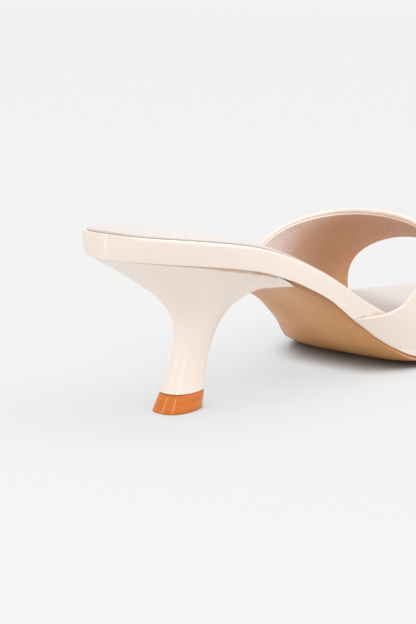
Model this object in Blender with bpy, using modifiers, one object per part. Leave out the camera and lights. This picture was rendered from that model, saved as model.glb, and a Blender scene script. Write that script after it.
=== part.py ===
import math

import bmesh
import bpy
import numpy as np

# Sizes, in metres
LENGTH = 0.2441
BALL_HALF = 0.0392
HEEL_RISE = 0.0534
SOLE_THICK = 0.0017
CROWN_WAIST = 0.0010
CROWN_BALL = 0.0017
WAIST_BEVEL = 0.0009
RIM_DEPTH = 0.0079
RIM_TUCK = 0.0014
RIM_ROUND = 0.0011
DISH = 0.0020
SOCK_THICK = 0.0013
SOCK_INSET_BACK = 0.0027
SOCK_INSET_SEAT = 0.0013
SOCK_INSET_BALL = 0.0025
WALL = 0.0024
WALL_TUCK = 0.0006
BAND_HEIGHT = 0.0600
BAND_FULLNESS = 2.24
RIDGE_SHIFT = 0.0020
TIP_DEPTH = 0.0060
TIP_LENGTH = 0.0184
TIP_WIDTH = 0.0136
TIP_PLACE = 0.0347
NECK_HEIGHT = 0.0230
NECK_LENGTH = 0.0141
NECK_WIDTH = 0.0100
NECK_PLACE = 0.0450
SEAT_INSET = 0.0009
SEAT_CENTRE = 0.0414
TONGUE_NEAR = 0.0666
TONGUE_FAR = 0.0658
BREAST = 0.0538
TAB_START = 0.0428
TAB_END = 0.0608
TAB_BLEND = 0.0050
TAB_SHARE = 0.62
CLEAR = 0.0003
POCKET_CLEAR = 0.0006
BASE_CLEAR = 0.0004

# Cutters reach this far past what they cut
OVERCUT = 0.0015
STITCH_IN = 0.00005
SIDE_SHIFT = -0.00024

# Outline: share of length, outer half and inner half as shares of the ball's half width
OUTLINE = (
    ("along", "outer", "inner"),
    (0.0000, 0.030, 0.040),
    (0.0010, 0.087, 0.097),
    (0.0037, 0.168, 0.184),
    (0.0090, 0.255, 0.276),
    (0.0180, 0.339, 0.360),
    (0.0385, 0.449, 0.474),
    (0.0631, 0.546, 0.561),
    (0.0877, 0.615, 0.628),
    (0.1491, 0.696, 0.699),
    (0.2106, 0.689, 0.651),
    (0.2720, 0.645, 0.533),
    (0.3335, 0.607, 0.431),
    (0.3949, 0.589, 0.367),
    (0.4564, 0.653, 0.434),
    (0.5178, 0.758, 0.617),
    (0.5793, 0.880, 0.798),
    (0.6407, 0.959, 0.931),
    (0.7022, 0.992, 1.008),
    (0.7841, 0.959, 1.023),
    (0.8660, 0.832, 0.916),
    (0.9152, 0.696, 0.765),
    (0.9521, 0.546, 0.602),
    (0.9766, 0.398, 0.444),
    (0.9910, 0.263, 0.296),
    (0.9975, 0.153, 0.173),
    (0.9996, 0.077, 0.087),
    (1.0000, 0.030, 0.040),
)

# Underside of the sole: share of length, share of the heel rise
PROFILE = (
    ("along", "rise"),
    (0.0000, 1.0000),
    (0.0877, 0.9494),
    (0.1696, 0.8820),
    (0.2515, 0.7753),
    (0.3130, 0.6629),
    (0.3744, 0.5262),
    (0.4359, 0.3315),
    (0.4973, 0.1423),
    (0.5567, 0.0197),
    (0.6039, 0.0000),
    (0.8087, 0.0000),
    (0.8497, 0.0075),
    (0.9070, 0.0375),
    (1.0000, 0.1236),
)

# Shares of the waist crown, the ball crown, the edge bevel, the rim depth and the dish, by share of length
CROWN = (
    ("along", "waist", "ball", "bevel", "rim", "dish"),
    (0.0000, 0.0, 0.00, 0.0, 1.000, 0.0),
    (0.2500, 0.0, 0.00, 0.2, 1.020, 0.0),
    (0.3300, 0.5, 0.00, 0.9, 1.040, 0.1),
    (0.3700, 0.8, 0.00, 1.0, 1.090, 0.3),
    (0.4150, 1.0, 0.00, 1.0, 1.270, 0.7),
    (0.4500, 0.9, 0.05, 0.9, 1.350, 0.9),
    (0.5000, 0.7, 0.25, 0.7, 1.480, 1.0),
    (0.5800, 0.1, 0.90, 0.3, 1.380, 0.8),
    (0.7000, 0.0, 1.00, 0.0, 1.190, 0.4),
    (0.7950, 0.0, 1.00, 0.0, 1.065, 0.3),
    (0.8620, 0.0, 0.90, 0.0, 0.900, 0.2),
    (0.9300, 0.0, 0.60, 0.0, 0.750, 0.1),
    (1.0000, 0.0, 0.00, 0.0, 0.700, 0.0),
)

# Section of a plate: share of half width, share of the tuck, share of the round, share of the depth
PLATE = (
    ("across", "tuck", "round", "depth"),
    (0.0, 0.0, 0.0, 0.00),
    (0.3, 0.0, 0.0, 0.00),
    (0.55, 0.0, 0.0, 0.00),
    (0.8, 0.0, 0.0, 0.00),
    (1.0, 1.0, 0.35, 0.00),
    (1.0, 0.85, 0.0, 0.08),
    (1.0, 0.25, 0.0, 0.45),
    (1.0, 0.0, 0.0, 0.78),
    (1.0, 0.0, 0.15, 0.92),
    (1.0, 0.0, 0.85, 1.00),
    (0.8, 0.0, 0.0, 1.00),
    (0.55, 0.0, 0.0, 1.00),
    (0.3, 0.0, 0.0, 1.00),
    (0.0, 0.0, 0.0, 1.00),
)

# Girth of the band: share of length, outer and inner half as shares of the ball's half width
GIRTH = (
    ("along", "outer", "inner"),
    (0.3949, 0.694, 0.592),
    (0.5178, 0.835, 0.745),
    (0.6407, 1.005, 0.972),
    (0.7841, 1.020, 1.047),
    (0.9275, 0.767, 0.791),
)

# Top of the band: share of length, share of the band's height
RIDGE = (
    ("along", "height"),
    (0.3949, 1.078),
    (0.4973, 1.006),
    (0.5793, 0.945),
    (0.6407, 0.909),
    (0.7022, 0.833),
    (0.7841, 0.676),
    (0.9275, 0.485),
)

# Rear edge of the band: share of the way round from the outer side, share of length
REAR_EDGE = (
    ("around", "along"),
    (0.000, 0.4240),
    (0.125, 0.5054),
    (0.250, 0.5776),
    (0.375, 0.6281),
    (0.500, 0.6224),
    (0.625, 0.5433),
    (0.750, 0.4653),
    (0.875, 0.4345),
    (1.000, 0.4390),
)

# Front edge of the band: share of the way round from the outer side, share of length
FRONT_EDGE = (
    ("around", "along"),
    (0.000, 0.7677),
    (0.250, 0.7702),
    (0.500, 0.7686),
    (0.620, 0.7803),
    (0.750, 0.7844),
    (0.880, 0.7869),
    (1.000, 0.7907),
)

# Heel neck: share of its height, then place, length and width as shares of the named neck sizes
NECK = (
    ("height", "place", "length", "width"),
    (0.00, 0.824, 1.175, 1.245),
    (0.23, 0.872, 1.043, 1.071),
    (0.50, 0.920, 1.002, 1.001),
    (0.77, 0.964, 1.084, 1.040),
    (1.00, 1.000, 1.283, 1.190),
)

# Flare from neck to seat: share of the height, share of the reach at the back and at the breast
FLARE = (
    ("height", "back", "breast"),
    (0.00, 0.000, 0.000),
    (0.12, 0.045, 0.070),
    (0.25, 0.131, 0.100),
    (0.40, 0.266, 0.148),
    (0.55, 0.431, 0.217),
    (0.70, 0.624, 0.306),
    (0.82, 0.781, 0.384),
    (0.92, 0.920, 0.500),
    (0.97, 0.970, 0.740),
    (1.00, 1.000, 1.000),
)

NECK_FULLNESS = 2.3
AROUND_STEPS = 36
ALONG_STEPS = 15
PLATE_STEPS = 46


def column(table, name):
    place = table[0].index(name)
    return np.array([row[place] for row in table[1:]], dtype=float)


def eased(xs, ys, x):
    # Monotone cubic through the rows of a table
    h = np.diff(xs)
    slope = np.diff(ys) / h
    m = np.zeros(len(xs))
    for i in range(1, len(xs) - 1):
        if slope[i - 1] * slope[i] > 0:
            w1 = 2 * h[i] + h[i - 1]
            w2 = h[i] + 2 * h[i - 1]
            m[i] = (w1 + w2) / (w1 / slope[i - 1] + w2 / slope[i])
    m[0] = slope[0]
    m[-1] = slope[-1]
    x = min(max(x, xs[0]), xs[-1])
    i = min(max(int(np.searchsorted(xs, x)) - 1, 0), len(h) - 1)
    t = (x - xs[i]) / h[i]
    a = ys[i] * (1 + 2 * t) * (1 - t) ** 2
    b = m[i] * h[i] * t * (1 - t) ** 2
    c = ys[i + 1] * t * t * (3 - 2 * t)
    d = m[i + 1] * h[i] * t * t * (t - 1)
    return float(a + b + c + d)


def curved(xs, ys, x):
    # Natural cubic through the rows of a table
    n = len(xs)
    h = np.diff(xs)
    a = np.zeros((n, n))
    r = np.zeros(n)
    a[0, 0] = 1.0
    a[-1, -1] = 1.0
    for i in range(1, n - 1):
        a[i, i - 1] = h[i - 1]
        a[i, i] = 2 * (h[i - 1] + h[i])
        a[i, i + 1] = h[i]
        r[i] = 6 * ((ys[i + 1] - ys[i]) / h[i] - (ys[i] - ys[i - 1]) / h[i - 1])
    m = np.linalg.solve(a, r)
    i = min(max(int(np.searchsorted(xs, x)) - 1, 0), n - 2)
    u = xs[i + 1] - x
    v = x - xs[i]
    ends = (m[i] * u ** 3 + m[i + 1] * v ** 3) / (6 * h[i])
    left = (ys[i] / h[i] - m[i] * h[i] / 6) * u
    right = (ys[i + 1] / h[i] - m[i + 1] * h[i] / 6) * v
    return float(ends + left + right)


def lookup(table, name, share, key="along", rule=eased):
    return rule(column(table, key), column(table, name), share)


def half(x, side):
    name = "outer" if side < 0 else "inner"
    return BALL_HALF * lookup(OUTLINE, name, x / LENGTH)


def rise(x):
    return HEEL_RISE * lookup(PROFILE, "rise", x / LENGTH)


def crown(x, u):
    s = x / LENGTH
    edge = CROWN_WAIST * lookup(CROWN, "waist", s) + CROWN_BALL * lookup(CROWN, "ball", s)
    return edge * min(max((abs(u) - 0.3) / 0.7, 0.0), 1.0) ** 2


def place(x, y, z):
    return (x - LENGTH / 2, y + SIDE_SHIFT, z)


def collection(name):
    group = bpy.data.collections.new(name)
    bpy.context.scene.collection.children.link(group)
    return group


def material(name, colour, rough):
    mat = bpy.data.materials.new(name)
    mat.use_nodes = True
    shader = mat.node_tree.nodes["Principled BSDF"]
    shader.inputs["Base Color"].default_value = (*colour, 1.0)
    shader.inputs["Roughness"].default_value = rough
    return mat


def loft(name, rings, group, mat=None, capped=True, closed=True):
    mesh = bpy.data.meshes.new(name)
    count = len(rings[0])
    verts = [place(*p) for ring in rings for p in ring]
    faces = []
    steps = count if closed else count - 1
    for i in range(len(rings) - 1):
        for j in range(steps):
            k = (j + 1) % count
            faces.append((i * count + j, i * count + k, (i + 1) * count + k, (i + 1) * count + j))
    if capped:
        faces.append(tuple(reversed(range(count))))
        faces.append(tuple(range((len(rings) - 1) * count, len(rings) * count)))
    mesh.from_pydata(verts, [], faces)
    mesh.update()
    shape = bpy.data.objects.new(name, mesh)
    group.objects.link(shape)
    if mat:
        mesh.materials.append(mat)
    if capped:
        face_out(shape)
    return shape


def face_out(shape):
    bm = bmesh.new()
    bm.from_mesh(shape.data)
    bmesh.ops.recalc_face_normals(bm, faces=bm.faces)
    bm.to_mesh(shape.data)
    bm.free()


def spread(start, end, count):
    # Stations bunched towards both ends
    turn = [0.5 - 0.5 * math.cos(math.pi * i / count) for i in range(count + 1)]
    return [start + (end - start) * t for t in turn]


def plate_rings(xs, halves, low, high, tuck, soft):
    rings = []
    rows = PLATE[1:]
    for x in xs:
        ring = []
        for side, order in ((1, rows), (-1, rows[-2:0:-1])):
            width = halves(x, side)
            for across, tucked, rounded, depth in order:
                limit = width * 0.6
                trim = min(tucked * tuck(x) + rounded * soft, limit)
                u = side * across
                y = side * (width - trim if across == 1.0 else across * (width - min(soft, limit)))
                z0 = low(x, u)
                ring.append((x, y, z0 + depth * (high(x, u) - z0)))
        rings.append(ring)
    return rings


def seat_tuck(x):
    return RIM_TUCK * min(max(1 - x / (0.30 * LENGTH), 0.0), 1.0)


def no_tuck(x):
    return 0.0


def sole_low(x, u):
    bevel = WAIST_BEVEL * lookup(CROWN, "bevel", x / LENGTH)
    return rise(x) + crown(x, u) + bevel * min(max((abs(u) - 0.7) / 0.3, 0.0), 1.0) ** 2


def sole_high(x, u):
    return rise(x) + crown(x, u) + SOLE_THICK


def bed_low(x, u):
    return sole_high(x, u) + CLEAR


def bed_high(x, u):
    s = x / LENGTH
    cup = 0.35 * (crown(x, 1.0) - crown(x, u)) - DISH * lookup(CROWN, "dish", s) * (1 - u * u)
    return bed_low(x, u) + RIM_DEPTH * lookup(CROWN, "rim", s) + cup


def sock_low(x, u):
    return bed_high(x, u) + CLEAR


def sock_high(x, u):
    pad = SOCK_THICK * (0.55 + 0.45 * (1 - abs(u) ** 3))
    return sock_low(x, u) + pad


def tab_half(x, side, grow=0.0):
    turn = min(max((x - TAB_END + TAB_BLEND) / TAB_BLEND, 0.0), 1.0)
    share = TAB_SHARE + (1 - TAB_SHARE) * turn * turn * (3 - 2 * turn)
    back = min(max((x - TAB_START + grow) / 0.008, 0.0), 1.0)
    return share * half(x, side) * (0.05 + 0.95 * math.sqrt(back * (2 - back))) + grow


def sole_stations():
    # Closer together where the tab widens to the full sole
    start = [TAB_START + 0.0080 * (i / 6) ** 2 for i in range(6)]
    wide = TAB_END - TAB_BLEND
    middle = [TAB_START + 0.0080 + (wide - TAB_START - 0.0080) * i / 2 for i in range(2)]
    blend = [wide + (TAB_END - wide) * i / 8 for i in range(9)]
    return start + middle + blend


def sock_half(x, side):
    turn = min(max((x / LENGTH - 0.25) / 0.2, 0.0), 1.0)
    inset = SOCK_INSET_SEAT + (SOCK_INSET_BALL - SOCK_INSET_SEAT) * turn
    along = x - (SOCK_INSET_BACK - SOCK_INSET_SEAT) * max(1 - x / 0.030, 0.0)
    return max(half(along, side) - inset, 0.0006)


def band_point(x, t, drop=0.0):
    # Outer surface of the band at a station and a share of the way round
    s = x / LENGTH
    side = -1 if t < 0.5 else 1
    name = "outer" if t < 0.5 else "inner"
    way = t if t < 0.5 else 1 - t
    base = sole_high(x, 1.0) + BASE_CLEAR
    girth = BALL_HALF * lookup(GIRTH, name, s, rule=curved)
    foot = half(x, side) - WALL_TUCK
    top = BAND_HEIGHT * lookup(RIDGE, "height", s, rule=curved)
    middle = base + 0.33 * (top - base)
    shift = RIDGE_SHIFT * min(max((s - 0.33) / 0.41, 0.0), 1.0)
    lower = 0.13
    if way <= lower:
        q = way / lower
        y = foot + (girth - foot) * math.sin(q * math.pi / 2)
        return (x, side * y, base + (middle - base) * q - drop)
    a = (way - lower) / (0.5 - lower) * math.pi / 2
    c = math.cos(a) ** (2 / BAND_FULLNESS) if a < math.pi / 2 - 1e-9 else 0.0
    z = middle + (top - middle) * math.sin(a) ** (2 / BAND_FULLNESS)
    return (x, side * girth * c + shift * (1 - c), z)


def band_rings(grow, drop):
    turns = [i / AROUND_STEPS for i in range(AROUND_STEPS + 1)]
    rings = []
    for j in range(ALONG_STEPS + 1):
        v = j / ALONG_STEPS
        ring = []
        for t in turns:
            back = LENGTH * lookup(REAR_EDGE, "along", t, "around", curved) - grow
            front = LENGTH * lookup(FRONT_EDGE, "along", t, "around", curved) + grow
            ring.append(band_point(back + (front - back) * v, t))
        if drop:
            first = (ring[0][0], ring[0][1], ring[0][2] - drop)
            last = (ring[-1][0], ring[-1][1], ring[-1][2] - drop)
            ring = [first] + ring + [last]
        rings.append(ring)
    return rings


def apply_all(shape):
    graph = bpy.context.evaluated_depsgraph_get()
    done = bpy.data.meshes.new_from_object(shape.evaluated_get(graph))
    shape.modifiers.clear()
    shape.data = done


def shell(name, rings, group, mat, inside, outside):
    shape = loft(name, rings, group, mat, capped=False, closed=False)
    bm = bmesh.new()
    bm.from_mesh(shape.data)
    bm.faces.ensure_lookup_table()
    centre = bm.faces[len(bm.faces) // 2]
    if centre.normal.z < 0:
        bmesh.ops.reverse_faces(bm, faces=bm.faces)
    bm.to_mesh(shape.data)
    bm.free()
    solid = shape.modifiers.new("wall", "SOLIDIFY")
    solid.thickness = inside + outside
    solid.offset = 2 * outside / (inside + outside) - 1
    solid.use_even_offset = True
    solid.use_quality_normals = True
    return shape


def cut(shape, tool):
    hole = shape.modifiers.new("cut", "BOOLEAN")
    hole.operation = "DIFFERENCE"
    hole.solver = "EXACT"
    hole.object = tool


def superellipse(centre, length, width, angle, z, power):
    c = math.cos(angle)
    s = math.sin(angle)
    x = centre + length / 2 * math.copysign(abs(c) ** (2 / power), c)
    y = width / 2 * math.copysign(abs(s) ** (2 / power), s)
    return (x, y, z)


def seat_outline():
    # Outer edge to its tongue, round the hollow breast, and back along the inner edge
    points = []
    back = RIM_TUCK + SEAT_INSET

    def inset_half(x, side):
        along = x - back * max(1 - x / 0.030, 0.0)
        return max(half(along, side) - SEAT_INSET, 0.0008)

    for i in range(17):
        x = back + (TONGUE_NEAR - back) * (i / 16) ** 1.35
        points.append((x, -inset_half(x, -1)))
    near = points[-1]
    far = (TONGUE_FAR, inset_half(TONGUE_FAR, 1))
    for i in range(1, 12):
        y = near[1] + (far[1] - near[1]) * i / 12
        tongue = near if y < 0 else far
        x = BREAST + (tongue[0] - BREAST) * abs(y / tongue[1]) ** 1.9
        points.append((x, y))
    for i in range(17):
        x = back + (TONGUE_FAR - back) * (1 - i / 16) ** 1.35
        points.append((x, inset_half(x, 1)))
    return points


def seat_edge(x):
    # Under the rim at the seat, and under the sole from the tongues on
    turn = min(max((x - TAB_END + 2 * TAB_BLEND) / (1.4 * TAB_BLEND), 0.0), 1.0)
    turn = turn * turn * (3 - 2 * turn)
    return rise(x) + (SOLE_THICK - CLEAR) * (1 - turn) - CLEAR * turn


def soften(rings, first, last, passes):
    for _ in range(passes):
        old = [np.array(ring) for ring in rings]
        for i in range(first, last):
            even = 0.5 * old[i] + 0.25 * (old[i - 1] + old[i + 1])
            rings[i] = [tuple(p) for p in even]
    return rings


def heel_rings():
    outline = seat_outline()
    angles = [math.atan2(y, x - SEAT_CENTRE) for x, y in outline]
    neck_start = TIP_DEPTH + CLEAR
    rings = []
    for i in range(9):
        h = i / 8
        centre = NECK_PLACE * lookup(NECK, "place", h, "height")
        length = NECK_LENGTH * lookup(NECK, "length", h, "height")
        width = NECK_WIDTH * lookup(NECK, "width", h, "height")
        z = neck_start + NECK_HEIGHT * h
        rings.append([superellipse(centre, length, width, a, z, NECK_FULLNESS) for a in angles])
    top = rings[-1]
    for h in (0.07, 0.15, 0.24, 0.34, 0.44, 0.54, 0.64, 0.74, 0.83, 0.90, 0.95, 0.98, 1.0):
        back = lookup(FLARE, "back", h, "height")
        breast = lookup(FLARE, "breast", h, "height")
        ring = []
        for (x, y), a, start in zip(outline, angles, top):
            ahead = (math.cos(a) + 1) / 2
            reach = back * (1 - ahead) + breast * ahead
            z = start[2] + (seat_edge(x) - start[2]) * h
            ring.append((start[0] + (x - start[0]) * reach, start[1] + (y - start[1]) * reach, z))
        rings.append(ring)
    rings = soften(rings, 5, 16, 3)
    rings.append([(x, y, rise(x) + SOLE_THICK) for x, y in outline])
    return rings


def heel_top(rings, group, mat):
    # The seat is closed by rows across it, so that it follows the curve of the footbed
    shape = loft("heel", rings, group, mat, capped=False)
    bm = bmesh.new()
    bm.from_mesh(shape.data)
    bm.verts.ensure_lookup_table()
    count = len(rings[0])
    last = (len(rings) - 1) * count
    bm.faces.new([bm.verts[j] for j in reversed(range(count))])
    for i in range(16):
        near = (i, i + 1)
        far = (count - 1 - i, count - 2 - i)
        bm.faces.new([bm.verts[last + j] for j in (near[0], near[1], far[1], far[0])])
    bm.faces.new([bm.verts[last + j] for j in range(16, count - 16)])
    bmesh.ops.recalc_face_normals(bm, faces=bm.faces)
    bm.to_mesh(shape.data)
    bm.free()
    return shape


def tip_rings():
    rings = []
    turns = [2 * math.pi * i / 40 for i in range(40)]
    waist = NECK_PLACE * lookup(NECK, "place", 0.0, "height")
    length = NECK_LENGTH * lookup(NECK, "length", 0.0, "height")
    width = NECK_WIDTH * lookup(NECK, "width", 0.0, "height")
    for h in (0.0, 0.06, 0.35, 0.7, 1.0):
        edge = 0.0003 if h == 0.0 else 0.0
        centre = TIP_PLACE + (waist - TIP_PLACE) * h
        long = TIP_LENGTH + (length - TIP_LENGTH) * h - 2 * edge
        wide = TIP_WIDTH + (width - TIP_WIDTH) * h - 2 * edge
        power = 2.5 + (NECK_FULLNESS - 2.5) * h
        rings.append([superellipse(centre, long, wide, a, TIP_DEPTH * h, power) for a in turns])
    return rings


def build():
    for old in list(bpy.data.objects):
        bpy.data.objects.remove(old)
    shoe = collection("heeled_mule")
    tools = collection("cutters")
    tan = material("tan_leather", (0.55, 0.28, 0.12), 0.45)
    cream = material("cream_leather", (0.86, 0.74, 0.63), 0.25)
    pale = material("pale_lining", (0.85, 0.76, 0.71), 0.5)
    lacquer = material("cream_heel", (0.84, 0.71, 0.60), 0.2)
    stack = material("tan_top_piece", (0.60, 0.24, 0.09), 0.35)

    even = spread(0.0, LENGTH, PLATE_STEPS)
    seat = [x for x in even if x < TAB_START - 0.002]
    rest = [x for x in even if x > TAB_END + 0.002]
    tab = sole_stations() + rest
    loft("outsole", plate_rings(tab, tab_half, sole_low, sole_high, no_tuck, 0.0004), shoe, tan)

    rings = plate_rings(seat + tab, half, bed_low, bed_high, seat_tuck, RIM_ROUND)
    footbed = loft("footbed", rings, shoe, cream)

    sock_xs = spread(SOCK_INSET_BACK, LENGTH - SOCK_INSET_BALL, PLATE_STEPS)
    loft("sock", plate_rings(sock_xs, sock_half, sock_low, sock_high, no_tuck, 0.0009), shoe, pale)

    heel = heel_top(heel_rings(), shoe, lacquer)
    loft("heel_tip", tip_rings(), shoe, stack)

    upper = shell("upper", band_rings(0.0, 0.0), shoe, cream, WALL, 0.0)
    roll = upper.modifiers.new("edges", "BEVEL")
    roll.width = 0.0007
    roll.segments = 2
    roll.limit_method = "ANGLE"
    roll.angle_limit = math.radians(50)
    apply_all(upper)

    pocket = shell("wall_pocket", band_rings(POCKET_CLEAR, OVERCUT), tools, None, WALL + POCKET_CLEAR, 2 * OVERCUT)
    apply_all(pocket)
    cut(footbed, pocket)

    def slot_half(x, side):
        wide = OVERCUT if x > TAB_END - 0.001 else 0.0
        return tab_half(x, side, CLEAR) + wide

    def slot_low(x, u):
        return rise(x) - CLEAR - STITCH_IN

    def slot_high(x, u):
        return sole_high(x, 0.0) + OVERCUT

    slot_xs = [TAB_START - CLEAR] + sole_stations() + rest[:4]
    slot = loft("sole_slot", plate_rings(slot_xs, slot_half, slot_low, slot_high, no_tuck, 0.0), tools)
    cut(heel, slot)

    for tool in (pocket, slot):
        tool.hide_render = True
        tool.display_type = "WIRE"
    apply_all(footbed)
    apply_all(heel)
    for shape in shoe.objects:
        for face in shape.data.polygons:
            face.use_smooth = False


build()
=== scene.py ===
import math

import bmesh
import bpy
import numpy as np
from mathutils import Matrix, Vector


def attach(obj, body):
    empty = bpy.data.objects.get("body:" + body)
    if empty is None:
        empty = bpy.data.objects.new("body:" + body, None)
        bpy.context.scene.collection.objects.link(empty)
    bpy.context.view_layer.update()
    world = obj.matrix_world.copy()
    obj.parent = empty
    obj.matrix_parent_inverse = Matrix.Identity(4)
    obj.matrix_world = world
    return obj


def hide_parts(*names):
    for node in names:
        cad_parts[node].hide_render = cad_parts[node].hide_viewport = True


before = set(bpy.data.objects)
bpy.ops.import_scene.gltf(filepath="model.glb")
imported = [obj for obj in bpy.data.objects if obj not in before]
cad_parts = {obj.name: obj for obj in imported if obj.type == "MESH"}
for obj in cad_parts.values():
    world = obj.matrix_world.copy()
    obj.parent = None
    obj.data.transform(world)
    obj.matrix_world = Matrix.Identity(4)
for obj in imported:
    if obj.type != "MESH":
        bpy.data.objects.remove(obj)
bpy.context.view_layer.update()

# Sizes, in metres
LENGTH = 0.2441
BALL_HALF = 0.0392
HEEL_RISE = 0.0534
SOLE_THICK = 0.0017
CROWN_WAIST = 0.0010
CROWN_BALL = 0.0017
RIM_DEPTH = 0.0079
RIM_TUCK = 0.0014
DISH = 0.0020
SOCK_THICK = 0.0013
SOCK_INSET_BACK = 0.0027
SOCK_INSET_SEAT = 0.0013
SOCK_INSET_BALL = 0.0025
WALL = 0.0024
WALL_TUCK = 0.0006
BAND_HEIGHT = 0.0600
RIDGE_SHIFT = 0.0020
TIP_DEPTH = 0.0060
TIP_LENGTH = 0.0184
TIP_WIDTH = 0.0136
TIP_PLACE = 0.0347
NECK_HEIGHT = 0.0230
NECK_LENGTH = 0.0141
NECK_WIDTH = 0.0100
NECK_PLACE = 0.0450
SEAT_INSET = 0.0009
SEAT_CENTRE = 0.0414
TONGUE_NEAR = 0.0666
TONGUE_FAR = 0.0658
BREAST = 0.0538
TAB_START = 0.0428
TAB_END = 0.0608
TAB_BLEND = 0.0050
TAB_ROUND = 0.008
CLEAR = 0.0003
BACK_RUN = 0.030

# Puts the object evenly about the middle
SIDE_SHIFT = -0.00024

# Shares and fullness of the forms
BAND_FULLNESS = 2.24
NECK_FULLNESS = 2.3
TIP_FULLNESS = 2.5
TAB_SHARE = 0.62
CROWN_FLAT = 0.3
BEVEL_START = 0.7
TUCK_END = 0.30
CUP_SHARE = 0.35
BAND_SIDE = 0.13
BAND_SPRING = 0.33
SHIFT_START = 0.33
SHIFT_RUN = 0.41
TONGUE_CURVE = 1.9
SEAT_SPREAD = 1.35
SEAT_STEPS = 16
BREAST_STEPS = 12

# Outline: share of length, outer half and inner half as shares of the ball's half width
OUTLINE = (
    ("along", "outer", "inner"),
    (0.0000, 0.030, 0.040),
    (0.0010, 0.087, 0.097),
    (0.0037, 0.168, 0.184),
    (0.0090, 0.255, 0.276),
    (0.0180, 0.339, 0.360),
    (0.0385, 0.449, 0.474),
    (0.0631, 0.546, 0.561),
    (0.0877, 0.615, 0.628),
    (0.1491, 0.696, 0.699),
    (0.2106, 0.689, 0.651),
    (0.2720, 0.645, 0.533),
    (0.3335, 0.607, 0.431),
    (0.3949, 0.589, 0.367),
    (0.4564, 0.653, 0.434),
    (0.5178, 0.758, 0.617),
    (0.5793, 0.880, 0.798),
    (0.6407, 0.959, 0.931),
    (0.7022, 0.992, 1.008),
    (0.7841, 0.959, 1.023),
    (0.8660, 0.832, 0.916),
    (0.9152, 0.696, 0.765),
    (0.9521, 0.546, 0.602),
    (0.9766, 0.398, 0.444),
    (0.9910, 0.263, 0.296),
    (0.9975, 0.153, 0.173),
    (0.9996, 0.077, 0.087),
    (1.0000, 0.030, 0.040),
)

# Underside of the sole: share of length, share of the heel rise
PROFILE = (
    ("along", "rise"),
    (0.0000, 1.0000),
    (0.0877, 0.9494),
    (0.1696, 0.8820),
    (0.2515, 0.7753),
    (0.3130, 0.6629),
    (0.3744, 0.5262),
    (0.4359, 0.3315),
    (0.4973, 0.1423),
    (0.5567, 0.0197),
    (0.6039, 0.0000),
    (0.8087, 0.0000),
    (0.8497, 0.0075),
    (0.9070, 0.0375),
    (1.0000, 0.1236),
)

# Shares of the waist crown, the ball crown, the rim depth and the dish, by share of length
CROWN = (
    ("along", "waist", "ball", "rim", "dish"),
    (0.0000, 0.0, 0.00, 1.000, 0.0),
    (0.2500, 0.0, 0.00, 1.020, 0.0),
    (0.3300, 0.5, 0.00, 1.040, 0.1),
    (0.3700, 0.8, 0.00, 1.090, 0.3),
    (0.4150, 1.0, 0.00, 1.270, 0.7),
    (0.4500, 0.9, 0.05, 1.350, 0.9),
    (0.5000, 0.7, 0.25, 1.480, 1.0),
    (0.5800, 0.1, 0.90, 1.380, 0.8),
    (0.7000, 0.0, 1.00, 1.190, 0.4),
    (0.7950, 0.0, 1.00, 1.065, 0.3),
    (0.8620, 0.0, 0.90, 0.900, 0.2),
    (0.9300, 0.0, 0.60, 0.750, 0.1),
    (1.0000, 0.0, 0.00, 0.700, 0.0),
)

# Girth of the band: share of length, outer and inner half as shares of the ball's half width
GIRTH = (
    ("along", "outer", "inner"),
    (0.3949, 0.694, 0.592),
    (0.5178, 0.835, 0.745),
    (0.6407, 1.005, 0.972),
    (0.7841, 1.020, 1.047),
    (0.9275, 0.767, 0.791),
)

# Top of the band: share of length, share of the band's height
RIDGE = (
    ("along", "height"),
    (0.3949, 1.078),
    (0.4973, 1.006),
    (0.5793, 0.945),
    (0.6407, 0.909),
    (0.7022, 0.833),
    (0.7841, 0.676),
    (0.9275, 0.485),
)

# Rear edge of the band: share of the way round from the outer side, share of length
REAR_EDGE = (
    ("around", "along"),
    (0.000, 0.4240),
    (0.125, 0.5054),
    (0.250, 0.5776),
    (0.375, 0.6281),
    (0.500, 0.6224),
    (0.625, 0.5433),
    (0.750, 0.4653),
    (0.875, 0.4345),
    (1.000, 0.4390),
)

# Front edge of the band: share of the way round from the outer side, share of length
FRONT_EDGE = (
    ("around", "along"),
    (0.000, 0.7677),
    (0.250, 0.7702),
    (0.500, 0.7686),
    (0.620, 0.7803),
    (0.750, 0.7844),
    (0.880, 0.7869),
    (1.000, 0.7907),
)

# Heel neck: share of its height, then place, length and width as shares of the named neck sizes
NECK = (
    ("height", "place", "length", "width"),
    (0.00, 0.824, 1.175, 1.245),
    (0.23, 0.872, 1.043, 1.071),
    (0.50, 0.920, 1.002, 1.001),
    (0.77, 0.964, 1.084, 1.040),
    (1.00, 1.000, 1.283, 1.190),
)

# Flare from neck to seat: share of the height, share of the reach at the back and at the breast
FLARE = (
    ("height", "back", "breast"),
    (0.00, 0.000, 0.000),
    (0.12, 0.045, 0.070),
    (0.25, 0.131, 0.100),
    (0.40, 0.266, 0.148),
    (0.55, 0.431, 0.217),
    (0.70, 0.624, 0.306),
    (0.82, 0.781, 0.384),
    (0.92, 0.920, 0.500),
    (0.97, 0.970, 0.740),
    (1.00, 1.000, 1.000),
)


def clamp(v):
    return min(max(v, 0.0), 1.0)


def smooth(v):
    v = clamp(v)
    return v * v * (3 - 2 * v)


def column(table, name):
    place = table[0].index(name)
    return np.array([row[place] for row in table[1:]], dtype=float)


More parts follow.
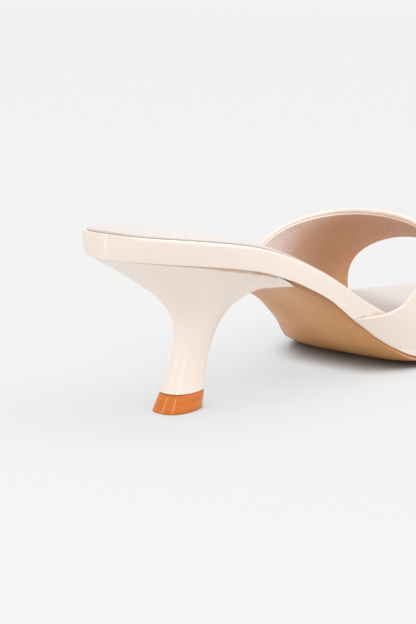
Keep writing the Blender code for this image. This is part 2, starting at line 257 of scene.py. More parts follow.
def eased(xs, ys, x):
    # Monotone cubic through the rows of a table
    h = np.diff(xs)
    slope = np.diff(ys) / h
    m = np.zeros(len(xs))
    for i in range(1, len(xs) - 1):
        if slope[i - 1] * slope[i] > 0:
            w1 = 2 * h[i] + h[i - 1]
            w2 = h[i] + 2 * h[i - 1]
            m[i] = (w1 + w2) / (w1 / slope[i - 1] + w2 / slope[i])
    m[0] = slope[0]
    m[-1] = slope[-1]
    x = min(max(x, xs[0]), xs[-1])
    i = min(max(int(np.searchsorted(xs, x)) - 1, 0), len(h) - 1)
    t = (x - xs[i]) / h[i]
    a = ys[i] * (1 + 2 * t) * (1 - t) ** 2
    b = m[i] * h[i] * t * (1 - t) ** 2
    c = ys[i + 1] * t * t * (3 - 2 * t)
    d = m[i + 1] * h[i] * t * t * (t - 1)
    return float(a + b + c + d)


def curved(xs, ys, x):
    # Natural cubic through the rows of a table
    n = len(xs)
    h = np.diff(xs)
    a = np.zeros((n, n))
    r = np.zeros(n)
    a[0, 0] = 1.0
    a[-1, -1] = 1.0
    for i in range(1, n - 1):
        a[i, i - 1] = h[i - 1]
        a[i, i] = 2 * (h[i - 1] + h[i])
        a[i, i + 1] = h[i]
        r[i] = 6 * ((ys[i + 1] - ys[i]) / h[i] - (ys[i] - ys[i - 1]) / h[i - 1])
    m = np.linalg.solve(a, r)
    i = min(max(int(np.searchsorted(xs, x)) - 1, 0), n - 2)
    u = xs[i + 1] - x
    v = x - xs[i]
    ends = (m[i] * u ** 3 + m[i + 1] * v ** 3) / (6 * h[i])
    left = (ys[i] / h[i] - m[i] * h[i] / 6) * u
    right = (ys[i + 1] / h[i] - m[i + 1] * h[i] / 6) * v
    return float(ends + left + right)


def lookup(table, name, share, key="along", rule=eased):
    return rule(column(table, key), column(table, name), share)


def half(x, side):
    name = "outer" if side < 0 else "inner"
    return BALL_HALF * lookup(OUTLINE, name, x / LENGTH)


def rise(x):
    return HEEL_RISE * lookup(PROFILE, "rise", x / LENGTH)


def crown(x, u):
    s = x / LENGTH
    edge = CROWN_WAIST * lookup(CROWN, "waist", s) + CROWN_BALL * lookup(CROWN, "ball", s)
    return edge * clamp((abs(u) - CROWN_FLAT) / (1 - CROWN_FLAT)) ** 2


def seat_tuck(x):
    return RIM_TUCK * clamp(1 - x / (TUCK_END * LENGTH))


def sole_high(x, u):
    return rise(x) + crown(x, u) + SOLE_THICK


def bed_low(x, u):
    return sole_high(x, u) + CLEAR


def bed_high(x, u):
    s = x / LENGTH
    cup = CUP_SHARE * (crown(x, 1.0) - crown(x, u))
    dish = DISH * lookup(CROWN, "dish", s) * (1 - u * u)
    return bed_low(x, u) + RIM_DEPTH * lookup(CROWN, "rim", s) + cup - dish


def tab_half(x, side):
    share = TAB_SHARE + (1 - TAB_SHARE) * smooth((x - TAB_END + TAB_BLEND) / TAB_BLEND)
    back = clamp((x - TAB_START) / TAB_ROUND)
    return share * half(x, side) * (0.05 + 0.95 * math.sqrt(back * (2 - back)))


def sock_half(x, side):
    turn = clamp((x / LENGTH - 0.25) / 0.2)
    inset = SOCK_INSET_SEAT + (SOCK_INSET_BALL - SOCK_INSET_SEAT) * turn
    along = x - (SOCK_INSET_BACK - SOCK_INSET_SEAT) * max(1 - x / BACK_RUN, 0.0)
    return max(half(along, side) - inset, 0.0006)


def superellipse(centre, length, width, angle, z, power):
    c = math.cos(angle)
    s = math.sin(angle)
    x = centre + length / 2 * math.copysign(abs(c) ** (2 / power), c)
    y = width / 2 * math.copysign(abs(s) ** (2 / power), s)
    return (x, y, z)


def seat_outline():
    # Outer edge to its tongue, round the hollow breast, and back along the inner edge
    points = []
    back = RIM_TUCK + SEAT_INSET

    def inset_half(x, side):
        along = x - back * max(1 - x / BACK_RUN, 0.0)
        return max(half(along, side) - SEAT_INSET, 0.0008)

    for i in range(SEAT_STEPS + 1):
        x = back + (TONGUE_NEAR - back) * (i / SEAT_STEPS) ** SEAT_SPREAD
        points.append((x, -inset_half(x, -1)))
    near = points[-1]
    far = (TONGUE_FAR, inset_half(TONGUE_FAR, 1))
    for i in range(1, BREAST_STEPS):
        y = near[1] + (far[1] - near[1]) * i / BREAST_STEPS
        tongue = near if y < 0 else far
        x = BREAST + (tongue[0] - BREAST) * abs(y / tongue[1]) ** TONGUE_CURVE
        points.append((x, y))
    for i in range(SEAT_STEPS + 1):
        x = back + (TONGUE_FAR - back) * (1 - i / SEAT_STEPS) ** SEAT_SPREAD
        points.append((x, inset_half(x, 1)))
    return points


# Steps of the visual meshes
AROUND = 150
ALONG = 72
STATIONS = 150
ACROSS = (0.0, 0.12, 0.24, 0.36, 0.48, 0.6, 0.7, 0.8, 0.88, 0.95, 1.0)
NECK_STEPS = 24
FLARE_STEPS = 40
FLARE_SPREAD = 1.25
EVEN_PASSES = 40
EVEN_FROM = 14
EVEN_TO = 50
TIP_SIDES = 96
BREAST_PAIRS = 32

# Smooth shading stops at edges sharper than this, in degrees
PLATE_SHARP = 40
BAND_SHARP = 50
SEAM_SHARP = 60

# Layers, rounded edges and joints, in metres
LEATHER = 0.0016
GROOVE = 0.00016
MARGIN = 0.0012
SEAM_HIGH = 0.00018
JOINT_LINE = 0.0001
SOLE_ROUND = 0.00025
RIM_ROUND_LOW = 0.0003
RIM_ROUND_TOP = 0.0013
SOCK_ROUND_LOW = 0.0001
SOCK_ROUND_TOP = 0.0003
SOCK_EDGE = 0.0006
SOCK_SETTLE = 0.0003
SOCK_SLOPE = 0.0055
SKIVE_DEPTH = 0.0028
SKIVE_LEAD = 0.0015
SKIVE_RUN = 0.0065
TONGUE_SINK = 0.0012
SEAM_STOP = 0.002

# The turned edge on the outer side has this share of the wall
EDGE_THIN = 0.55

# Layers of the band: outer and inner depth, trim at the back and the front, reach of the rounded edge
BAND_LAYERS = {
    "band_leather": (0.0, LEATHER, MARGIN, MARGIN, LEATHER / 2),
    "band_lining": (LEATHER + GROOVE, WALL, MARGIN + 0.0003, MARGIN - 0.0006, 0.0003),
    "band_edge_line": (
        LEATHER - 0.0001, LEATHER + GROOVE + 0.0001, MARGIN + 0.0004, MARGIN + 0.0008, 0.0001),
    "pocket": (-0.003, WALL + 0.0003, MARGIN - 0.0003, MARGIN - 0.0009, 0.0001),
}

# Joint line under the rim, its tan partly painted shade of the gap: height against the rim, share of
# its reach
SEAM_RINGS = (
    (-0.0005, 0.985),
    (-0.00025, 0.997),
    (-0.00003, 1.0),
)

# Edge of the top piece: share of its height, set back in metres
TIP_EDGE = (
    (0.0, 0.0004),
    (0.02, 0.0001),
    (0.06, 0.0),
    (0.25, 0.0),
    (0.5, 0.0),
    (0.75, 0.0),
    (0.96, 0.0),
    (1.0, 0.00015),
)

# Feathered edge of the sole: share of length, height of the bevel in metres
FEATHER = (
    ("along", "bevel"),
    (0.0000, 0.0010),
    (0.2600, 0.0012),
    (0.4300, 0.0011),
    (0.5000, 0.0008),
    (0.5800, 0.0003),
    (0.7000, 0.0001),
    (1.0000, 0.0001),
)

# Short creases in the lining: share round, share across, length and width as shares, depth in metres
CREASES = (
    (0.86, 0.10, 0.012, 0.10, 0.00022),
    (0.83, 0.13, 0.010, 0.12, 0.00018),
    (0.80, 0.09, 0.009, 0.11, 0.00020),
    (0.77, 0.12, 0.010, 0.09, 0.00016),
    (0.74, 0.08, 0.009, 0.10, 0.00020),
    (0.71, 0.11, 0.010, 0.09, 0.00015),
    (0.68, 0.09, 0.009, 0.08, 0.00017),
    (0.64, 0.10, 0.010, 0.08, 0.00013),
    (0.60, 0.12, 0.011, 0.09, 0.00014),
    (0.55, 0.10, 0.010, 0.08, 0.00012),
    (0.88, 0.45, 0.030, 0.10, 0.00025),
    (0.79, 0.62, 0.035, 0.12, 0.00022),
    (0.40, 0.14, 0.012, 0.10, 0.00016),
    (0.33, 0.10, 0.010, 0.09, 0.00018),
    (0.26, 0.12, 0.010, 0.09, 0.00015),
)


def place(x, y, z):
    return (x - LENGTH / 2, y + SIDE_SHIFT, z)


# Mesh helpers

def new_mesh(name, points, faces, uvs, sharp):
    mesh = bpy.data.meshes.new(name)
    mesh.from_pydata([tuple(p) for p in points], [], faces)
    if uvs is not None:
        layer = mesh.uv_layers.new(name="UVMap")
        for loop in mesh.loops:
            layer.data[loop.index].uv = uvs[loop.vertex_index]
    bm = bmesh.new()
    bm.from_mesh(mesh)
    bmesh.ops.recalc_face_normals(bm, faces=bm.faces)
    bm.to_mesh(mesh)
    bm.free()
    finish_shading(mesh, sharp)
    shape = bpy.data.objects.new(name, mesh)
    bpy.context.scene.collection.objects.link(shape)
    return shape


def finish_shading(mesh, sharp):
    for face in mesh.polygons:
        face.use_smooth = True
    mesh.set_sharp_from_angle(angle=math.radians(sharp))


def ring_faces(rings):
    count = len(rings[0])
    faces = []
    for i in range(len(rings) - 1):
        for j in range(count):
            k = (j + 1) % count
            faces.append((i * count + j, i * count + k, (i + 1) * count + k, (i + 1) * count + j))
    faces.append(tuple(reversed(range(count))))
    return faces


def ring_points(rings):
    return [place(*p) for ring in rings for p in ring]


def loft(name, rings, uvs=None, sharp=PLATE_SHARP):
    count = len(rings[0])
    faces = ring_faces(rings)
    faces.append(tuple(range((len(rings) - 1) * count, len(rings) * count)))
    return new_mesh(name, ring_points(rings), faces, uvs, sharp)


def cut(shape, tool):
    hole = shape.modifiers.new("cut", "BOOLEAN")
    hole.operation = "DIFFERENCE"
    hole.solver = "EXACT"
    hole.object = tool
    graph = bpy.context.evaluated_depsgraph_get()
    done = bpy.data.meshes.new_from_object(shape.evaluated_get(graph))
    shape.modifiers.clear()
    shape.data = done
    finish_shading(done, PLATE_SHARP)
    bpy.data.objects.remove(tool)


def side_profile(depth, low_round, high_round, tuck):
    # From the bottom corner round the side to the top corner: out from the edge, up from the bottom
    points = []
    for k in range(5):
        a = -math.pi / 2 + math.pi / 2 * k / 4
        points.append((low_round * (math.cos(a) - 1), low_round * (1 + math.sin(a))))
    for share in (0.25, 0.5, 0.75):
        points.append((0.0, low_round + (depth - low_round - high_round) * share))
    for k in range(7):
        a = math.pi / 2 * k / 6
        points.append((high_round * (math.cos(a) - 1), depth - high_round * (1 - math.sin(a))))
    return [(out - tuck * max(1 - up / depth, 0.0) ** 1.4, up) for out, up in points]


def plate_rings(xs, halves, low, high, low_round, high_round, tuck):
    # The second result marks each point with its distance from the upper edge, in centimetres
    rings = []
    marks = []
    for x in xs:
        ring = []
        for side in (1, -1):
            wide = halves(x, side)
            depth = high(x, side) - low(x, side)
            squeeze = min(1.0, wide / (2.5 * (low_round + high_round + tuck(x)) + 1e-9))
            profile = side_profile(depth, low_round * squeeze, high_round * squeeze, tuck(x) * squeeze)
            under = wide + profile[0][0]
            over = wide + profile[-1][0]
            run = [(a * under, low(x, side * a), depth + wide * (1 - a)) for a in ACROSS[:-1]]
            run += [(wide + out, low(x, side) + up, depth - up) for out, up in profile]
            run += [(a * over, high(x, side * a), 0.0) for a in reversed(ACROSS[:-1])]
            if side < 0:
                run = run[-2:0:-1]
            ring += [(x, side * y, z) for y, z, reach in run]
            marks += [(reach * 100, x / LENGTH) for y, z, reach in run]
        rings.append(ring)
    return rings, marks


def stations(start, end, count):
    turn = [0.5 - 0.5 * math.cos(math.pi * i / count) for i in range(count + 1)]
    even = [i / count for i in range(count + 1)]
    return [start + (end - start) * (0.5 * a + 0.5 * b) for a, b in zip(turn, even)]


def no_tuck(x):
    return 0.0


# The band over the forefoot

def wall_share(t):
    # The wall is thinned on the outer side, where its edge is turned under
    return EDGE_THIN + (1 - EDGE_THIN) * smooth((t - 0.26) / 0.2)


def band_point(x, t):
    s = x / LENGTH
    side = -1 if t < 0.5 else 1
    name = "outer" if t < 0.5 else "inner"
    way = t if t < 0.5 else 1 - t
    base = sole_high(x, 1.0) + CLEAR / 2
    girth = BALL_HALF * lookup(GIRTH, name, s, rule=curved)
    foot = half(x, side) - WALL_TUCK
    top = BAND_HEIGHT * lookup(RIDGE, "height", s, rule=curved)
    middle = base + BAND_SPRING * (top - base)
    shift = RIDGE_SHIFT * clamp((s - SHIFT_START) / SHIFT_RUN)
    if way <= BAND_SIDE:
        q = way / BAND_SIDE
        y = foot + (girth - foot) * math.sin(q * math.pi / 2)
        return (x, side * y, base + (middle - base) * q)
    a = (way - BAND_SIDE) / (0.5 - BAND_SIDE) * math.pi / 2
    c = math.cos(a) ** (2 / BAND_FULLNESS) if a < math.pi / 2 - 1e-9 else 0.0
    z = middle + (top - middle) * math.sin(a) ** (2 / BAND_FULLNESS)
    return (x, side * girth * c + shift * (1 - c), z)


def band_grid():
    grid = np.zeros((AROUND + 1, ALONG + 1, 3))
    for i in range(AROUND + 1):
        t = i / AROUND
        back = LENGTH * lookup(REAR_EDGE, "along", t, "around", curved) - MARGIN
        front = LENGTH * lookup(FRONT_EDGE, "along", t, "around", curved) + MARGIN
        for j in range(ALONG + 1):
            v = 0.5 * (j / ALONG) + 0.5 * (0.5 - 0.5 * math.cos(math.pi * j / ALONG))
            grid[i, j] = band_point(back + (front - back) * v, t)
    return grid


def grid_normals(grid):
    du = np.gradient(grid, axis=0)
    dv = np.gradient(grid, axis=1)
    normal = np.cross(du, dv)
    normal /= np.linalg.norm(normal, axis=2, keepdims=True) + 1e-12
    if normal[AROUND // 2, ALONG // 2, 2] < 0:
        normal = -normal
    return normal


def smooth_grid(grid, passes):
    # Evens the lines along the band, with the edges kept where they are
    for _ in range(passes):
        inner = grid[1:-1].copy()
        grid[1:-1] = 0.5 * inner + 0.25 * (grid[:-2] + grid[2:])
    return grid


def crease(t, v):
    return sum(d * math.exp(-((t - a) / w) ** 2 - ((v - b) / l) ** 2) for a, b, w, l, d in CREASES)


def band_shell(name, grid, normal, creased=False):
    # A closed shell between two depths under the band's surface, with rounded edges
    outer_deep, inner_deep, trim_back, trim_front, soft = BAND_LAYERS[name]
    arc = np.linalg.norm(np.diff(grid, axis=1), axis=2)
    length = np.concatenate([np.zeros((len(grid), 1)), np.cumsum(arc, axis=1)], axis=1)
    rings = []
    uvs = []
    for i in range(len(grid)):
        total = length[i, -1]
        thin = wall_share(i / (len(grid) - 1))
        outer = outer_deep * thin
        inner = inner_deep * thin
        steps = np.linspace(trim_back + soft, total - trim_front - soft, ALONG + 1)
        line = [np.array([np.interp(s, length[i], grid[i, :, k]) for k in range(3)]) for s in steps]
        norm = [np.array([np.interp(s, length[i], normal[i, :, k]) for k in range(3)]) for s in steps]
        norm = [n / np.linalg.norm(n) for n in norm]
        ring = [p - n * outer for p, n in zip(line, norm)]
        keep = list(steps / total)
        for place_at, ahead, span in (
            (-1, line[-1] - line[-2], 1),
            (0, line[0] - line[1], -1),
        ):
            ahead = ahead / np.linalg.norm(ahead)
            n = norm[place_at]
            centre = line[place_at] - n * (outer + inner) / 2
            reach = (inner - outer) / 2
            turn = []
            for k in range(1, 8):
                a = math.pi / 2 - math.pi * k / 8
                turn.append(centre + n * reach * math.sin(a) + ahead * soft * math.cos(a))
            mark = [steps[place_at] / total] * 7
            if span > 0:
                ring += turn
                keep += mark
                inside = zip(reversed(line), reversed(norm), reversed(steps / total))
                for p, m, v in inside:
                    lift = crease(i / (len(grid) - 1), v) if creased else 0.0
                    ring.append(p - m * (inner - lift))
                keep += list(reversed(steps / total))
            else:
                ring += list(reversed(turn))
                keep += mark
        rings.append([tuple(p) for p in ring])
        uvs += [(i / (len(grid) - 1), k) for k in keep]
    return loft(name, rings, uvs, BAND_SHARP)


# The heel

def build_seam():
    # The thin joint line that shows between the heel and the rim, its tan partly painted shade of the
    # gap
    centre = 0.6 * TAB_END
    path = []
    for x, y in seat_outline():
        beside = abs(y) > 0.7 * half(x, 1 if y > 0 else -1)
        if x < TAB_END - SEAM_STOP and (x < BREAST + SEAM_STOP or beside):
            path.append((centre + (x - centre) * 0.996, y * 0.992))
    rings = []
    for low, out in SEAM_RINGS:
        rings.append([(centre + (x - centre) * out, y * out, bed_low(x, 1.0) + low) for x, y in path])
    return loft("seat_seam", rings, None, SEAM_SHARP)


def seat_top(x):
    # Under the rim at the seat, sinking to the feathered sole's edge at the tips of the tongues
    turn = clamp((x - TAB_END + 0.9 * TAB_BLEND) / (2 * TAB_BLEND))
    drop = SEAM_HIGH + TONGUE_SINK * turn * turn
    return bed_low(x, 1.0) - drop


def heel_rings():
    outline = seat_outline()
    fine = []
    for i in range(len(outline)):
        a = np.array(outline[i])
        b = np.array(outline[(i + 1) % len(outline)])
        fine += [tuple(a), tuple(0.5 * (a + b))]
    outline = fine[:-1]
    angles = [math.atan2(y, x - SEAT_CENTRE) for x, y in outline]
    neck_start = TIP_DEPTH + CLEAR
    rings = []
    for i in range(NECK_STEPS + 1):
        h = i / NECK_STEPS
        centre = NECK_PLACE * lookup(NECK, "place", h, "height")
        length = NECK_LENGTH * lookup(NECK, "length", h, "height")
        width = NECK_WIDTH * lookup(NECK, "width", h, "height")
        z = neck_start + NECK_HEIGHT * h
        rings.append([superellipse(centre, length, width, a, z, NECK_FULLNESS) for a in angles])
    top = rings[-1]
    for k in range(1, FLARE_STEPS + 1):
        h = 1 - (1 - k / FLARE_STEPS) ** FLARE_SPREAD
        back = lookup(FLARE, "back", h, "height")
        breast = lookup(FLARE, "breast", h, "height")
        ring = []
        for (x, y), a, start in zip(outline, angles, top):
            ahead = (math.cos(a) + 1) / 2
            reach = back * (1 - ahead) + breast * ahead
            z = start[2] + (seat_top(x) - start[2]) * h
            ring.append((start[0] + (x - start[0]) * reach, start[1] + (y - start[1]) * reach, z))
        rings.append(ring)
    for _ in range(EVEN_PASSES):
        old = [np.array(ring) for ring in rings]
        for i in range(EVEN_FROM, EVEN_TO):
            rings[i] = [tuple(p) for p in 0.5 * old[i] + 0.25 * (old[i - 1] + old[i + 1])]
    return rings


def build_heel():
    # The hollow breast needs its top closed in pairs across, from the back forwards
    rings = heel_rings()
    count = len(rings[0])
    faces = ring_faces(rings)
    last = (len(rings) - 1) * count
    for i in range(BREAST_PAIRS):
        faces.append((last + i, last + i + 1, last + count - 2 - i, last + count - 1 - i))
    faces.append(tuple(last + j for j in range(BREAST_PAIRS, count - BREAST_PAIRS)))
    return new_mesh("heel_body", ring_points(rings), faces, None, BAND_SHARP)


def build_tip():
    turns = [2 * math.pi * i / TIP_SIDES for i in range(TIP_SIDES)]
    waist = NECK_PLACE * lookup(NECK, "place", 0.0, "height")
    length = NECK_LENGTH * lookup(NECK, "length", 0.0, "height")
    width = NECK_WIDTH * lookup(NECK, "width", 0.0, "height")
    rings = []
    for h, edge in TIP_EDGE:
        centre = TIP_PLACE + (waist - TIP_PLACE) * h
        long = TIP_LENGTH + (length - TIP_LENGTH) * h - 2 * edge
        wide = TIP_WIDTH + (width - TIP_WIDTH) * h - 2 * edge
        power = TIP_FULLNESS + (NECK_FULLNESS - TIP_FULLNESS) * h
        rings.append([superellipse(centre, long, wide, a, TIP_DEPTH * h, power) for a in turns])
    return loft("top_piece", rings)


# Materials

# Cream leathers: colour, roughness, coat, coat roughness, grain, slow wave
CREAMS = {
    "cream_leather": ((0.85, 0.735, 0.645), 0.42, 0.45, 0.10, 0.25, 6.0),
    "heel_leather": ((0.89, 0.77, 0.68), 0.40, 0.3, 0.12, 0.2, 3.0),
    "sock_leather": ((0.68, 0.605, 0.57), 0.45, 0.6, 0.15, 0.5, 2.0),
}

# Tones of the other finishes, with their place on a ramp
# Lining ramp: from pale painted light at the opening to brown painted shade deep inside the band
LINING_LIT_TO_SHADED_TONES = (
    (0.24, (0.96, 0.83, 0.76)),
    (0.46, (0.90, 0.66, 0.53)),
    (0.68, (0.78, 0.45, 0.25)),
    (0.9, (0.70, 0.37, 0.18)),
)
LINING_EDGE = (0.90, 0.81, 0.75)
SOLE_TONES = ((0.32, (0.55, 0.235, 0.068)), (0.68, (0.70, 0.35, 0.125)))
SOLE_SCUFF = (0.70, 0.44, 0.28)
SOLE_CUT = ((0.30, (0.42, 0.17, 0.055)), (0.50, (0.62, 0.30, 0.13)), (0.62, (0.74, 0.40, 0.20)))
# Painted shadow of the gap between the rim and the sole
SOLE_GAP_SHADOW = (0.36, 0.125, 0.035)
# Joint tan, partly the joints' own colour and partly painted shade of the gaps
JOINT_SHADE_TONES = ((0.3, (0.60, 0.40, 0.25)), (0.7, (0.72, 0.53, 0.38)))
TIP_TONES = ((0.3, (0.55, 0.125, 0.008)), (0.7, (0.72, 0.20, 0.020)))
WHITE = (1, 1, 1)
BLACK = (0, 0, 0)


def shader_nodes(name):
    mat = bpy.data.materials.new(name)
    mat.use_nodes = True
    tree = mat.node_tree
    return mat, tree.nodes, tree.links, tree.nodes["Principled BSDF"]


def noise(nodes, links, vector, scale, detail=4.0, rough=0.5, stretch=None):
    if stretch:
        mapping = nodes.new("ShaderNodeMapping")
        mapping.inputs["Scale"].default_value = stretch
        links.new(vector, mapping.inputs["Vector"])
        vector = mapping.outputs["Vector"]
    node = nodes.new("ShaderNodeTexNoise")
    node.inputs["Scale"].default_value = scale
    node.inputs["Detail"].default_value = detail
    node.inputs["Roughness"].default_value = rough
    links.new(vector, node.inputs["Vector"])
    return node.outputs["Fac"]


def ramp(nodes, links, value, stops):
    node = nodes.new("ShaderNodeValToRGB")
    for i, (at, colour) in enumerate(stops):
        stop = node.color_ramp.elements[i] if i < 2 else node.color_ramp.elements.new(at)
        stop.position = at
        stop.color = (*colour, 1.0)
    links.new(value, node.inputs["Fac"])
    return node.outputs["Color"]


def mix(nodes, links, factor, first, second):
    node = nodes.new("ShaderNodeMix")
    node.data_type = "RGBA"
    for socket, value in ((node.inputs[0], factor), (node.inputs[6], first), (node.inputs[7], second)):
        if hasattr(value, "is_output"):
            links.new(value, socket)
        elif isinstance(value, tuple):
            socket.default_value = (*value, 1.0)
        else:
            socket.default_value = value
    return node.outputs[2]


def bump(nodes, links, shader, height, strength, distance):
    node = nodes.new("ShaderNodeBump")
    node.inputs["Strength"].default_value = strength
    node.inputs["Distance"].default_value = distance
    links.new(height, node.inputs["Height"])
    links.new(node.outputs["Normal"], shader.inputs["Normal"])


def coords(nodes, name="Object"):
    return nodes.new("ShaderNodeTexCoord").outputs[name]


def value_math(nodes, links, kind, first, second=None, third=None):
    node = nodes.new("ShaderNodeMath")
    node.operation = kind
    for socket, value in zip(node.inputs, (first, second, third)):
        if hasattr(value, "is_output"):
            links.new(value, socket)
        elif value is not None:
            socket.default_value = value
    return node.outputs[0]


def cream_leather(name):
    colour, rough, coat, coat_rough, grain, wave = CREAMS[name]
    mat, nodes, links, shader = shader_nodes(name)
    where = coords(nodes)
    cloud = noise(nodes, links, where, 28.0, 3.0)
    dark = tuple(c * 0.97 for c in colour)
    light = tuple(min(c * 1.02, 1.0) for c in colour)
    links.new(ramp(nodes, links, cloud, ((0.3, dark), (0.7, light))), shader.inputs["Base Color"])
    shader.inputs["Roughness"].default_value = rough
    shader.inputs["Coat Weight"].default_value = coat
    shader.inputs["Coat Roughness"].default_value = coat_rough
    fine = noise(nodes, links, where, 1500.0, 2.0)
    slow = noise(nodes, links, where, 90.0, 2.0)
    height = value_math(nodes, links, "MULTIPLY_ADD", slow, wave, fine)
    bump(nodes, links, shader, height, grain, 0.00003)
    return mat


def lining_leather():
    # Paler where the foot slides in, as painted light, and deeper brown towards the top of the band
    # and the toes, as painted shade inside the band, over the lining's own pink tan; with a pale bound
    # edge
    mat, nodes, links, shader = shader_nodes("lining_leather")
    where = coords(nodes)
    around, across = split_uv(nodes, links)
    # The ramp value grows into the band, towards its top and towards the toes: painted shade
    off = value_math(nodes, links, "ABSOLUTE", value_math(nodes, links, "SUBTRACT", around, 0.5))
    painted_shade_depth = value_math(nodes, links, "MULTIPLY_ADD", off, -1.25, 0.40)
    painted_shade_depth = value_math(nodes, links, "MAXIMUM", painted_shade_depth, 0.0)
    cloud = noise(nodes, links, where, 45.0, 4.0)
    painted_shade_depth = value_math(nodes, links, "ADD", painted_shade_depth, across)
    painted_shade_depth = value_math(nodes, links, "MULTIPLY_ADD", cloud, 0.22, painted_shade_depth)
    body = ramp(nodes, links, painted_shade_depth, LINING_LIT_TO_SHADED_TONES)
    edge = ramp(nodes, links, across, ((0.0, WHITE), (0.040, WHITE), (0.050, BLACK)))
    links.new(mix(nodes, links, edge, body, LINING_EDGE), shader.inputs["Base Color"])
    shader.inputs["Roughness"].default_value = 0.42
    shader.inputs["Specular IOR Level"].default_value = 0.35
    shader.inputs["Coat Weight"].default_value = 0.12
    shader.inputs["Coat Roughness"].default_value = 0.35
    pebble = nodes.new("ShaderNodeTexVoronoi")
    pebble.inputs["Scale"].default_value = 1100.0
    links.new(where, pebble.inputs["Vector"])
    fold = noise(nodes, links, coords(nodes, "UV"), 1.0, 3.0, 0.6, (170.0, 22.0, 1.0))
    near = value_math(nodes, links, "MULTIPLY_ADD", across, -2.2, 1.1)
    near = value_math(nodes, links, "MAXIMUM", near, 0.15)
    fold = value_math(nodes, links, "MULTIPLY", fold, near)
    height = value_math(nodes, links, "MULTIPLY_ADD", pebble.outputs["Distance"], 0.35, fold)
    bump(nodes, links, shader, height, 0.9, 0.0006)
    return mat


def split_uv(nodes, links):
    split = nodes.new("ShaderNodeSeparateXYZ")
    links.new(coords(nodes, "UV"), split.inputs[0])
    return split.outputs[0], split.outputs[1]


def sole_leather():
    # Brushed underside with a rubbed patch, a dark line of painted shadow along the joint under the
    # rim, and a paler cut edge
    mat, nodes, links, shader = shader_nodes("sole_leather")
    where = coords(nodes)
    reach, along = split_uv(nodes, links)
    streak = noise(nodes, links, where, 9.0, 5.0, 0.6, (1.0, 5.0, 1.0))
    under = ramp(nodes, links, streak, SOLE_TONES)
    scuff = noise(nodes, links, where, 55.0, 6.0, 0.7)
    worn = ramp(nodes, links, scuff, ((0.56, BLACK), (0.72, (0.5, 0.5, 0.5))))
    under = mix(nodes, links, worn, under, SOLE_SCUFF)
    wobble = noise(nodes, links, where, 120.0, 3.0)
    reach = value_math(nodes, links, "MULTIPLY_ADD", wobble, 0.03, reach)
    inner = ramp(nodes, links, reach, ((0.20, WHITE), (0.27, BLACK)))
    cut_edge = ramp(nodes, links, along, SOLE_CUT)
    body = mix(nodes, links, inner, under, cut_edge)
    # Painted shadow: a thin dark band just below the sole's upper edge, under the rim
    line = ramp(nodes, links, reach, ((0.065, WHITE), (0.095, BLACK)))
    body = mix(nodes, links, line, body, SOLE_GAP_SHADOW)
    links.new(body, shader.inputs["Base Color"])
    rough = value_math(nodes, links, "MULTIPLY_ADD", scuff, 0.3, 0.25)
    links.new(rough, shader.inputs["Roughness"])
    shader.inputs["Specular IOR Level"].default_value = 0.25
    shader.inputs["Coat Weight"].default_value = 0.15
    shader.inputs["Coat Roughness"].default_value = 0.3
    fibre = noise(nodes, links, where, 700.0, 3.0)
    bump(nodes, links, shader, fibre, 0.25, 0.00005)
    return mat


# Tan of the joint lines, partly their own colour and partly painted shade in the gap under the rim and
# in the groove at the band's edge
def joint_shade_finish():
    mat, nodes, links, shader = shader_nodes("joint_shade_finish")
    where = coords(nodes)
    patch = noise(nodes, links, where, 220.0, 3.0)
    tone = ramp(nodes, links, patch, JOINT_SHADE_TONES)
    links.new(tone, shader.inputs["Base Color"])
    shader.inputs["Roughness"].default_value = 0.55
    thread = noise(nodes, links, where, 900.0, 2.0)
    bump(nodes, links, shader, thread, 0.3, 0.00004)
    return mat


def top_piece_finish():
    # Stacked leather, lacquered
    mat, nodes, links, shader = shader_nodes("top_piece_finish")
    where = coords(nodes)
    layer = noise(nodes, links, where, 60.0, 3.0, 0.5, (0.3, 0.3, 9.0))
    tone = ramp(nodes, links, layer, TIP_TONES)
    links.new(tone, shader.inputs["Base Color"])
    shader.inputs["Roughness"].default_value = 0.35
    shader.inputs["Specular IOR Level"].default_value = 0.1
    shader.inputs["Coat Weight"].default_value = 0.7
    shader.inputs["Coat Roughness"].default_value = 0.08
    grain = noise(nodes, links, where, 500.0, 2.0, 0.5, (1.0, 1.0, 0.15))
    bump(nodes, links, shader, grain, 0.15, 0.00004)
    return mat


def floor_finish():
    # A plain pale ground that stays even in the light, with a painted contact shadow: its glow darkens
    # where something stands close
    mat, nodes, links, shader = shader_nodes("floor_finish")
    nodes.remove(shader)
    out = nodes["Material Output"]
    # Painted contact shadow: occlusion dims the floor's glow close to the shoe
    close = nodes.new("ShaderNodeAmbientOcclusion")
    close.inputs["Distance"].default_value = CONTACT_REACH
    close.samples = 12
    painted_contact_shadow = nodes.new("ShaderNodeMapRange")
    painted_contact_shadow.interpolation_type = "SMOOTHSTEP"
    painted_contact_shadow.inputs["From Min"].default_value = 0.05
    painted_contact_shadow.inputs["From Max"].default_value = 0.75
    links.new(close.outputs["AO"], painted_contact_shadow.inputs["Value"])
    glow = nodes.new("ShaderNodeEmission")
    glow.inputs["Color"].default_value = (*FLOOR_GLOW, 1.0)
    links.new(painted_contact_shadow.outputs["Result"], glow.inputs["Strength"])
    plain = nodes.new("ShaderNodeBsdfDiffuse")
    plain.inputs["Color"].default_value = (*FLOOR_TONE, 1.0)
    both = nodes.new("ShaderNodeAddShader")
    links.new(glow.outputs[0], both.inputs[0])
    links.new(plain.outputs[0], both.inputs[1])
    links.new(both.outputs[0], out.inputs["Surface"])
    return mat


# Scene

FLOOR_HALF = 60.0
WORLD_LIGHT = 0.896
FLOOR_TONE = (0.26, 0.22, 0.20)
FLOOR_LIGHT = 1.36
FLOOR_GLOW = tuple(WORLD_LIGHT - FLOOR_LIGHT * tone for tone in FLOOR_TONE)
CONTACT_REACH = 0.015

